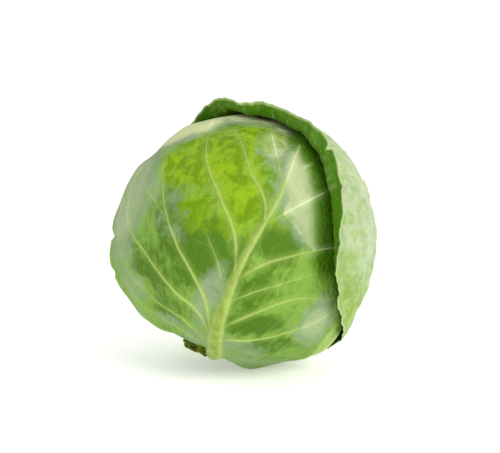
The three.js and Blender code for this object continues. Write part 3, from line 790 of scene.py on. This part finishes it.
def make_leaf(name, cells, rounds, vivid=(), bloom=(), dark=(), sheets=(), folds=(),
              crumple=0.35, frill=0.0):
    """Builds one wrapper leaf as a thin closed shell that replaces its CAD node."""
    leaf = LEAF[name]
    index = LEAVES.index(leaf)
    bm = flat_blank(leaf, cells, rounds)
    # Solidify with a negative thickness leaves the slab inside out, so its faces are turned
    bmesh.ops.reverse_faces(bm, faces=bm.faces[:])
    mesh = mesh_of(name + "_blade", bm)
    x, y, side = points_of(mesh).T
    midrib, main, fine = leaf["veined"]
    wide = [dict(line, width=line["width"] + 5.0) for line in [midrib] + main]
    rib_relief, rib_near = near_lines([midrib], x, y, 1.35)
    main_relief, main_near = near_lines(main, x, y, 1.7)
    fine_relief, fine_near = near_lines(fine, x, y, 1.8)
    ridge_near = near_lines(shoulders(midrib), x, y, 2.0)[1]
    comb_near = near_lines(comb(leaf), x, y, 1.8)[1]
    inside = inside_edge(leaf, x, y)
    points, d = inner_face(index, x, y)
    over = covered(d, index)
    flat_spot = flatness(d)
    # ribs melt into each other, and a covered leaf shows them less
    relief = (rib_relief ** 3 + (main_relief * smooth((inside - 3) / 12)) ** 3) ** (1 / 3)
    relief = relief + fine_relief * (1 - smooth(relief / 0.5)) * smooth((inside - 3) / 8)
    relief = relief * (1 - over * np.where(relief > 1.6, 0.25, 0.6))
    swell = dips(x, y) * (crumple * (1 - over) * smooth(inside / 10))
    # folds are shallow grooves with a raised lip, where a dry leaf has been bent
    grooves = [tapered(smooth_path(fold), 2.2, 0.8, 1.4, 0.3) for fold in folds]
    lips = [dict(groove, width=groove["width"] * 2.6) for groove in grooves]
    swell = swell - near_lines(grooves, x, y, 2.0)[0] + 0.6 * near_lines(lips, x, y, 2.0)[0]
    swell = swell + frill * smooth(1 - inside / CRIMPED) * crimps(leaf, x, y)
    thin = BLADE * (THIN + (1 - THIN) * smooth(inside / 9))
    out = side * thin + np.where(side > 0.75, relief, 0) + swell
    bulge = ROUND_EDGE * (1 - np.abs(2 * side - 1)) * (np.abs(side - 0.5) < 0.2)
    r = 1 + bulge / np.maximum(np.hypot(x, y), 1)
    points = np.where((bulge > 0)[:, None], inner_face(index, x * r, y * r)[0], points)
    rise = out * (1 - flat_spot) + side * BLADE * flat_spot
    points = points + face_normals(index, x, y) * rise[:, None]
    points[:, 2] = np.maximum(points[:, 2], 0.0)
    move_points(mesh, points)
    main_near = np.where(side < 0.25, np.maximum(0.5 * main_near, comb_near), main_near)
    marks = dict(vein=np.maximum(rib_near, main_near * smooth((inside - 1) / 8)),
                 # ridge: the midrib's pale shoulders, with a painted highlight on the right one
                 rib=rib_near, ridge=ridge_near * (side > 0.5), fine=fine_near,
                 halo=near_lines(wide, x, y, 1.6)[1], inner=side < 0.25,
                 # crease is painted shade at the foot of a leaf that stands up over this one
                 margin=1 - smooth((inside - 0.3) / 1.1), fold_shade=fold_shade_beside(index, d),
                 vivid=zone(x, y, vivid), dark=zone(x, y, dark),
                 bloom=np.maximum(zone(x, y, bloom), films(x, y, sheets)))
    for key, value in marks.items():
        layer = mesh.attributes.new(key, "FLOAT", "POINT")
        layer.data.foreach_set("value", np.asarray(value, np.float32))
    # fibres fan out from the leaf base: mm across the fan, mm along it, and a step between
    # the two faces
    up = y - (leaf["midrib"][0][1] - FAN_FOOT)
    fan = np.stack([FAN_OUT * np.arctan2(x, up), np.hypot(x, up), 9 * side], -1)
    layer = mesh.attributes.new("fibre", "FLOAT_VECTOR", "POINT")
    layer.data.foreach_set("vector", fan.astype(np.float32).ravel())
    blade = show(mesh)
    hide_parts(name)
    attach(blade, "root")
    # the volume comes out above 0 only when the faces look outward
    mesh.calc_loop_triangles()
    corners = np.empty(len(mesh.loop_triangles) * 3, np.int32)
    mesh.loop_triangles.foreach_get("vertices", corners)
    a, b, c = points[corners.reshape(-1, 3)].transpose(1, 0, 2)
    volume = float(np.sum(a * np.cross(b, c))) / 6000
    print(name, "has", len(mesh.loop_triangles), "triangles and", round(volume, 1), "cm3 of leaf")
    return blade


# %% [markdown]
# ## The front leaf
#
# This is the leaf that meets the eye: its midrib climbs from the stem to the crown and its
# side veins fan out from it. The fresh yellow-green shows in patches high on the leaf where
# the wax has rubbed off, and the grey-green bloom stays low and to the left. Thicker
# films of wax end along straight borders, where a side vein or another leaf stopped them.
# All of these are drawn in leaf millimetres and broken up later by noise in the
# finish. A patch is its middle, half width, half height, turn and amount.

# %% Make the front leaf
front_leaf = make_leaf(
    "front_leaf", 86, (None, 3.4, 1.8),
    vivid=[(-52, 60, 32, 26, 0, 1.0), (-78, 42, 22, 15, 10, 1.0), (-28, 40, 16, 34, 15, 1.0),
           (-28, 90, 22, 18, 0, 0.9), (-92, 38, 10, 9, 0, 0.8), (-54, 16, 16, 18, 25, 0.7),
           (-70, 52, 14, 12, 0, 1.1), (-20, 96, 12, 12, 0, 0.6), (5, 26, 10, 7, 20, 0.6)],
    # the patch at (-52, 130), under the outermost leaf's rim, and the one at (34, -96), on the
    # bottom lobe, are partly painted light: real wax, made paler to lighten places that lie in
    # shade
    bloom=[(-124, 4, 32, 66, 10, 1.1), (-100, 88, 46, 20, 42, 1.6), (-52, 130, 76, 24, 7, 1.55),
           (-6, 102, 18, 16, -35, 1.3), (-70, 2, 16, 24, 30, 0.6), (-22, -42, 10, 24, 0, 1.0),
           (-46, -84, 26, 8, 20, 0.8), (-17, -84, 12, 12, 0, 0.9), (13, 64, 19, 36, 8, 1.27),
           (30, 32, 17, 18, 0, 1.2), (-15, 86, 13, 18, 0, 1.3), (60, -34, 14, 20, 0, 1.1),
           (-86, -68, 18, 14, -30, 0.9), (14, -72, 22, 10, 0, 0.8), (34, -96, 34, 16, 0, 0.7)],
    dark=[(6, -30, 9, 24, 12, 0.55), (-46, -10, 34, 20, -30, 1.1),
          (-72, -38, 24, 13, -20, 0.6), (-16, -8, 9, 18, 0, 0.8), (10, 14, 15, 12, 25, 1.0),
          (12, -48, 18, 8, 15, 0.8), (34, -60, 18, 7, 15, 0.6), (-50, -68, 16, 12, -15, 0.7)],
    sheets=[(1.18, (3, 31), (33, 15), (62, 27), (50, 60), (10, 60), (4, 45)),
            (1.0, (-18, -20), (-31, -30), (-28, -54), (-15, -74), (-17, -42)),
            (0.95, (-98, 60), (-130, 60), (-140, 10), (-100, -20), (-62, -12), (-82, 12),
             (-97, 40))],
    crumple=0.45)

# %% Make the outermost leaf
hood_leaf = make_leaf("hood_leaf", 110, (None, 2.6),
                      vivid=[(-90, 120, 10, 8, 30, 0.7), (-150, -20, 24, 18, 0, 0.7)],
                      bloom=[(-90, 70, 70, 80, 0, 0.6), (40, 60, 60, 90, 0, 0.45),
                             (0, -70, 90, 50, 0, 0.5)],
                      folds=[[(-152, 96), (-140, 80), (-123, 59), (-104, 44)],
                             [(-118, 108), (-108, 92), (-92, 80)],
                             [(-162, 44), (-146, 36), (-128, 40)],
                             [(-166, 10), (-148, 2), (-126, 8), (-112, 2)]],
                      crumple=0.6, frill=0.8)

# %% Make the two leaves between
left_leaf = make_leaf("left_leaf", 88, (None, 2.2), bloom=[(0, 0, 80, 80, 0, 0.5)])
lower_leaf = make_leaf("lower_leaf", 84, (None,), bloom=[(0, 0, 60, 60, 0, 0.3)])

# %% [markdown]
# ## The cut stem
#
# The stem is cut off just below the lowest leaf and shows the corky scars of leaves that
# were stripped. It could be a spun profile, but a real stump isn't round, so a fine
# sphere is squared off towards a short drum and then pushed in and out by a few waves
# that stand for the scars. The knife left a lumpy end and a torn lip on one side.

# %% Make the stem
STEM_R, STEM_FROM, STEM_TO = 10.0, 60.0, 85.0     # mm, along the stem from the middle
TORN_LIP, TORN_AT, TORN_WIDTH = 3.2, 1.5, 0.55    # mm, then angles in radians
LUMPS = 2.2                                       # mm, on the cut end
stem_way = direction(1.4, -80)
stem_across = around(0) - (around(0) @ stem_way) * stem_way
stem_across /= np.linalg.norm(stem_across)
stem_side = np.cross(stem_way, stem_across)
stem_bm = bmesh.new()
bmesh.ops.create_icosphere(stem_bm, subdivisions=6, radius=1.0)
stem_mesh = mesh_of("stem_stump", stem_bm)
ball = points_of(stem_mesh)
drum = np.sign(ball) * np.abs(ball) ** 0.55
long = drum[:, 2] / np.abs(drum[:, 2]).max()
turn_angle = np.arctan2(ball[:, 1], ball[:, 0])
radius = np.hypot(ball[:, 0], ball[:, 1])
radius = radius ** 0.35 * (1 - 0.12 * long ** 2)
scars = 0.09 * np.sin(3 * turn_angle + 2.5 * long) + 0.08 * np.sin(5 * turn_angle - 6 * long + 1) \
    + 0.06 * np.sin(9 * turn_angle + 9 * long) + 0.04 * np.sin(16 * long + 2 * turn_angle)
radius = radius * (0.98 + scars) * STEM_R
torn = np.exp(-((turn_angle - TORN_AT) / TORN_WIDTH) ** 2)
radius = radius + TORN_LIP * torn * smooth((long + 0.35) / 0.5) \
    * (1 + 0.3 * np.sin(7 * turn_angle + 5 * long))
along_stem = STEM_FROM + (STEM_TO - STEM_FROM) * (0.5 + 0.5 * long)
along_stem = along_stem - LUMPS * smooth((long - 0.3) / 0.5) \
    * (0.5 + 0.5 * np.sin(5 * ball[:, 0] + 3 * np.sin(4 * ball[:, 1])))
stem_co = np.array([0, 0, CENTRE_Z]) + along_stem[:, None] * stem_way \
    + (radius * np.cos(turn_angle))[:, None] * stem_across \
    + (radius * np.sin(turn_angle))[:, None] * stem_side
move_points(stem_mesh, stem_co)
stem = show(stem_mesh)
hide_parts("stem")
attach(stem, "root")
print("stem, mm:", np.round(stem_co.max(0) - stem_co.min(0), 1))

# %% [markdown]
# ## Leaf finish
#
# Leaf tissue is a thin green sheet under a clear cuticle. On the outer face crystals of
# wax scatter the light and turn the green grey and dull; where they are rubbed off, the
# leaf is a fresher yellow-green and glossier. Veins hold less green and look pale. One
# recipe makes all four leaves: the attributes say where, noise breaks up the borders, and
# each leaf brings its own colours. It could be painted by hand on every leaf, but the
# marks already know where the veins are. A cuticle has an IOR near 1.45. The recipe is
# kept as two lists, of where each thing sets in and of the layers of colour, and a loop
# turns every row into nodes.

# %% Leaf material
MARKS = ("vein", "rib", "ridge", "fine", "halo", "inner", "margin", "fold_shade", "vivid",
         "bloom", "dark")


def leaf_material(name, waxed, crinkle, **colours):
    """The finish of one leaf, from the tissue outwards. waxed is how far the bloom spreads."""
    material, tree, shader = new_material(name)
    place = add_node(tree, "ShaderNodeTexCoord").outputs["Object"]
    amount = {key: add_node(tree, "ShaderNodeAttribute", {"attribute_name": key}).outputs["Fac"]
              for key in MARKS}
    # patterns in the tissue: size in mm, detail, roughness, distortion
    for key, size, detail, rough, twist in (("clouds", 24, 4.0, 0.6, 0.0),
                                            ("blotches", 9, 5.0, 0.6, 0.5),
                                            ("specks", 2.2, 4.0, 0.65, 0.0)):
        noise = add_node(tree, "ShaderNodeTexNoise",
                         {"Scale": 1000 / size, "Detail": detail, "Roughness": rough,
                          "Distortion": twist}, {"Vector": place})
        amount[key] = noise.outputs["Fac"]
    # fibres, 2 mm across and 17 mm along the fan
    fan = add_node(tree, "ShaderNodeAttribute", {"attribute_name": "fibre"})
    stretch = add_node(tree, "ShaderNodeMapping", {"Scale": (1 / 2, 0.06, 1.0)},
                       {"Vector": fan.outputs["Vector"]})
    fibres = add_node(tree, "ShaderNodeTexNoise",
                      {"Scale": 1.0, "Detail": 5.0, "Roughness": 0.62, "Distortion": 0.4},
                      {"Vector": stretch.outputs[0]})
    amount["fibres"] = fibres.outputs["Fac"]
    # the net of the finest veins, 5.5 mm from one to the next
    net = add_node(tree, "ShaderNodeTexVoronoi",
                   {"feature": "DISTANCE_TO_EDGE", "Scale": 1000 / 5.5, "Randomness": 1.0},
                   {"Vector": place})
    amount["net"] = net.outputs["Distance"]
    # what a thing starts from, what is added to it, from where to where it sets in, and
    # how strong it gets
    for key, start, added, low, high, full in (
            # worn spots with fairly sharp borders
            ("worn", "blotches", (("fibres", 0.35),), 0.58, 0.78, 1.0),
            # deep green in clouds, and where the leaf data says so
            ("deeper", "dark", (("clouds", 1.6), ("fibres", 1.2), ("worn", 0.3)), 1.4, 2.3, 1.0),
            # fresh patches, where the wax is rubbed off
            ("rubbed", "vivid", (("blotches", 1.8),), 1.15, 1.75, 1.0),
            # wax bloom, brushed along the fibres, then where it is thick, then chalky
            ("waxy", "bloom", (("clouds", 0.8), ("fibres", 1.2), ("worn", -0.3)),
             1.25 - waxed, 2.05 - waxed, 1.0),
            ("thick", "bloom", (), 0.9, 1.5, 1.0),
            ("chalky", "bloom", (), 0.95, 1.35, 1.0),
            # painted shade at the foot of a leaf that stands up, and the crest of the midrib
            ("shaded_fold", "fold_shade", (), 0.1, 1.0, 0.9),
            ("crest", "rib", (), 0.55, 1.0, 0.8),
            # small puffs of tissue between the finest veins
            ("puffs", "net", (), 0.0, 0.35, 1.0)):
        value = amount[start]
        for pattern, weight in added:
            value = add_node(tree, "ShaderNodeMath", {"operation": "MULTIPLY_ADD", 1: weight},
                             {0: amount[pattern], 2: value}).outputs[0]
        onset = add_node(tree, "ShaderNodeMapRange",
                         {"interpolation_type": "SMOOTHSTEP", "From Min": low,
                          "From Max": high, "To Max": full}, {"Value": value})
        amount[key] = onset.outputs[0]
    # a rubbed place holds hardly any wax, and the painted shade at the foot of a standing leaf
    # clears the wax there too
    bare = add_node(tree, "ShaderNodeMath", {"operation": "MULTIPLY_ADD", 1: 0.7},
                    {0: amount["rubbed"], 2: amount["fold_shade"]})
    held = add_node(tree, "ShaderNodeMapRange", {"To Min": 0.92, "To Max": 0.1},
                    {"Value": bare.outputs[0]})
    waxy = add_node(tree, "ShaderNodeMath", {"operation": "MULTIPLY"},
                    {0: amount["waxy"], 1: held.outputs[0]})
    # the crest of the midrib is patchy, and pale all over where the bloom is chalky
    patchy = add_node(tree, "ShaderNodeMapRange",
                      {"From Min": 0.35, "From Max": 0.62, "To Min": 0.3, "To Max": 1.15},
                      {"Value": amount["blotches"]})
    crest = add_node(tree, "ShaderNodeMath", {"operation": "MULTIPLY"},
                     {0: amount["crest"], 1: patchy.outputs[0]})
    crest = add_node(tree, "ShaderNodeMath",
                     {"operation": "MULTIPLY_ADD", 1: -0.9, "use_clamp": True},
                     {0: amount["chalky"], 2: crest.outputs[0]})
    amount.update(waxy=waxy.outputs[0], crest=crest.outputs[0])
    # how strongly the lines and edges show
    for key, mark, weight in (("edge", "halo", 0.22), ("thread", "fine", 0.32),
                              ("line", "vein", 0.88), ("shoulder", "ridge", 0.6),
                              ("stain", "worn", 0.35), ("traced", "vein", 0.5),
                              ("lip", "margin", 0.6)):
        amount[key] = add_node(tree, "ShaderNodeMath", {"operation": "MULTIPLY", 1: weight},
                               {0: amount[mark]}).outputs[0]
    # layers of colour: what is underneath, what goes over it, and where
    # the shoulder colour is the midrib's pale edge, brightened on the right by a painted highlight
    colours.update(chalk="#e4eac0", shoulder="#adbd72")
    layers = {key: linear(value) for key, value in colours.items()}
    for key, below, above, where in (
            ("tissue", "blade", "deep", "deeper"),
            ("yellow", "lime", "fresh", "worn"),
            ("green", "tissue", "yellow", "rubbed"),
            ("bloom", "wax", "frost", "thick"),
            ("dulled", "green", "bloom", "waxy"),
            # painted shade: at the foot of a leaf that stands up, the tissue turns a deep shaded
            # green
            ("dulled", "dulled", "shade", "shaded_fold"),
            # veins: a soft pale edge, the finest ones almost lost, then the line itself
            ("pale", "vein", "chalk", "chalky"),
            ("veined", "dulled", "pale", "edge"),
            ("veined", "veined", "pale", "thread"),
            ("veined", "veined", "pale", "line"),
            ("veined", "veined", "rib", "crest"),
            # the midrib's pale shoulders, the right one with a painted highlight
            ("veined", "veined", "shoulder", "shoulder"),
            # the inner face has no wax and its veins hardly show
            ("under", "inner", "deep", "stain"),
            ("under", "under", "vein", "traced"),
            ("skin", "veined", "under", "inner"),
            ("skin", "skin", "vein", "lip")):
        settings, links = {"data_type": "RGBA"}, {"Factor": amount[where]}
        for socket, layer in ((6, layers[below]), (7, layers[above])):
            (settings if isinstance(layer, list) else links)[socket] = layer
        layers[key] = add_node(tree, "ShaderNodeMix", settings, links).outputs[2]
    tree.links.new(layers["skin"], shader.inputs["Base Color"])
    # wax is matt, the bare cuticle has a soft shine
    matt = add_node(tree, "ShaderNodeMapRange", {"To Min": 0.42, "To Max": 0.66},
                    {"Value": amount["waxy"]})
    tree.links.new(matt.outputs[0], shader.inputs["Roughness"])
    height = amount["puffs"]
    for pattern, weight in (("blotches", 3.2), ("fibres", 2.0), ("specks", 0.4)):
        height = add_node(tree, "ShaderNodeMath", {"operation": "MULTIPLY_ADD", 1: weight},
                          {0: amount[pattern], 2: height}).outputs[0]
    bump = add_node(tree, "ShaderNodeBump", {"Strength": crinkle, "Distance": 0.0007},
                    {"Height": height})
    tree.links.new(bump.outputs[0], shader.inputs["Normal"])
    shader.inputs["IOR"].default_value = 1.45
    shader.inputs["Specular IOR Level"].default_value = 0.14
    shader.inputs["Subsurface Weight"].default_value = 0.12
    shader.inputs["Subsurface Radius"].default_value = (0.6, 1.0, 0.25)
    shader.inputs["Subsurface Scale"].default_value = 0.0015
    return material


# %% Four leaf finishes
# the shade colour is painted shade, laid at the foot of a leaf that stands up
front_finish = leaf_material(
    "cabbage leaf, part waxed", blade="#739839", deep="#466c0c", fresh="#638704",
    lime="#82a212", shade="#3c6606", wax="#7f9470", frost="#bfc696", vein="#a2b85e",
    rib="#7a8e2c", inner="#3f6c06", waxed=0.1, crinkle=0.5)
hood_finish = leaf_material(
    "cabbage leaf, waxed", blade="#8aa758", deep="#668834", fresh="#7a9a3a", lime="#92a85a",
    shade="#5d8030", wax="#b1ba9d", frost="#c6cdb6", vein="#cfd8a0", rib="#a3b56e",
    inner="#437208", waxed=0.3, crinkle=0.6)
left_finish = leaf_material(
    "cabbage leaf, lightly waxed", blade="#6f8f3e", deep="#557a26", fresh="#74941a",
    lime="#84a030", shade="#4d7616", wax="#93a576", frost="#b0b98f", vein="#a8ba78",
    rib="#8aa24a", inner="#466e16", waxed=0.2, crinkle=0.45)
lower_finish = leaf_material(
    "cabbage leaf, fresh", blade="#8caa4a", deep="#6d9030", fresh="#86a22c", lime="#96b048",
    shade="#6f9430", wax="#a4b67a", frost="#b0b98f", vein="#b9ca86", rib="#98ac58",
    inner="#466e16", waxed=0.1, crinkle=0.45)
print("four leaf finishes, each of", len(front_finish.node_tree.nodes), "nodes")

# %% [markdown]
# ## Stem and heart finish
#
# The cut stem has dried: its corky skin is dark in the cracks and yellow-green between
# them, and nearly matt. The heart leaves never saw the sun, so they are pale and smooth.
# Both are plant tissue in two greens, so one short recipe with a noise of the right grain
# makes them, and the same noise raises the surface a little.

# %% Stem and heart materials
def mottled_tissue(name, grain, detail, rough, low, high, strength, depth, roughness, shine):
    """Tissue in two greens with patches of so many mm; low and high say where each begins."""
    material, tree, shader = new_material(name)
    place = add_node(tree, "ShaderNodeTexCoord").outputs["Object"]
    mottle = add_node(tree, "ShaderNodeTexNoise",
                      {"Scale": 1000 / grain, "Detail": detail, "Roughness": rough},
                      {"Vector": place}).outputs["Fac"]
    ramp = add_node(tree, "ShaderNodeValToRGB", links={"Fac": mottle})
    for element, (position, colour) in zip(ramp.color_ramp.elements, (low, high)):
        element.position = position
        element.color = linear(colour)
    tree.links.new(ramp.outputs["Color"], shader.inputs["Base Color"])
    bump = add_node(tree, "ShaderNodeBump", {"Strength": strength, "Distance": depth},
                    {"Height": mottle})
    tree.links.new(bump.outputs[0], shader.inputs["Normal"])
    shader.inputs["Roughness"].default_value = roughness
    shader.inputs["Specular IOR Level"].default_value = shine
    return material


stem_finish = mottled_tissue(
    "cut cabbage stem, dried", 5, 6.0, 0.7, (0.42, "#283000"), (0.64, "#7a8e10"),
    strength=0.6, depth=0.0015, roughness=0.75, shine=0.15)
heart_finish = mottled_tissue(
    "cabbage heart leaf", 25, 5.0, 0.5, (0.3, "#a9c06a"), (0.7, "#d3dea6"),
    strength=0.3, depth=0.001, roughness=0.45, shine=0.5)
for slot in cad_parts["heart"].material_slots:
    slot.material = heart_finish
for piece, finish, slot_name in ((front_leaf, front_finish, "front_leaf"),
                                 (hood_leaf, hood_finish, "outer_leaf"),
                                 (left_leaf, left_finish, "back_leaf"),
                                 (lower_leaf, lower_finish, "inner_leaf"),
                                 (stem, stem_finish, "stem")):
    piece.data.materials.append(finish)
    print(piece.name, "is", finish.name)
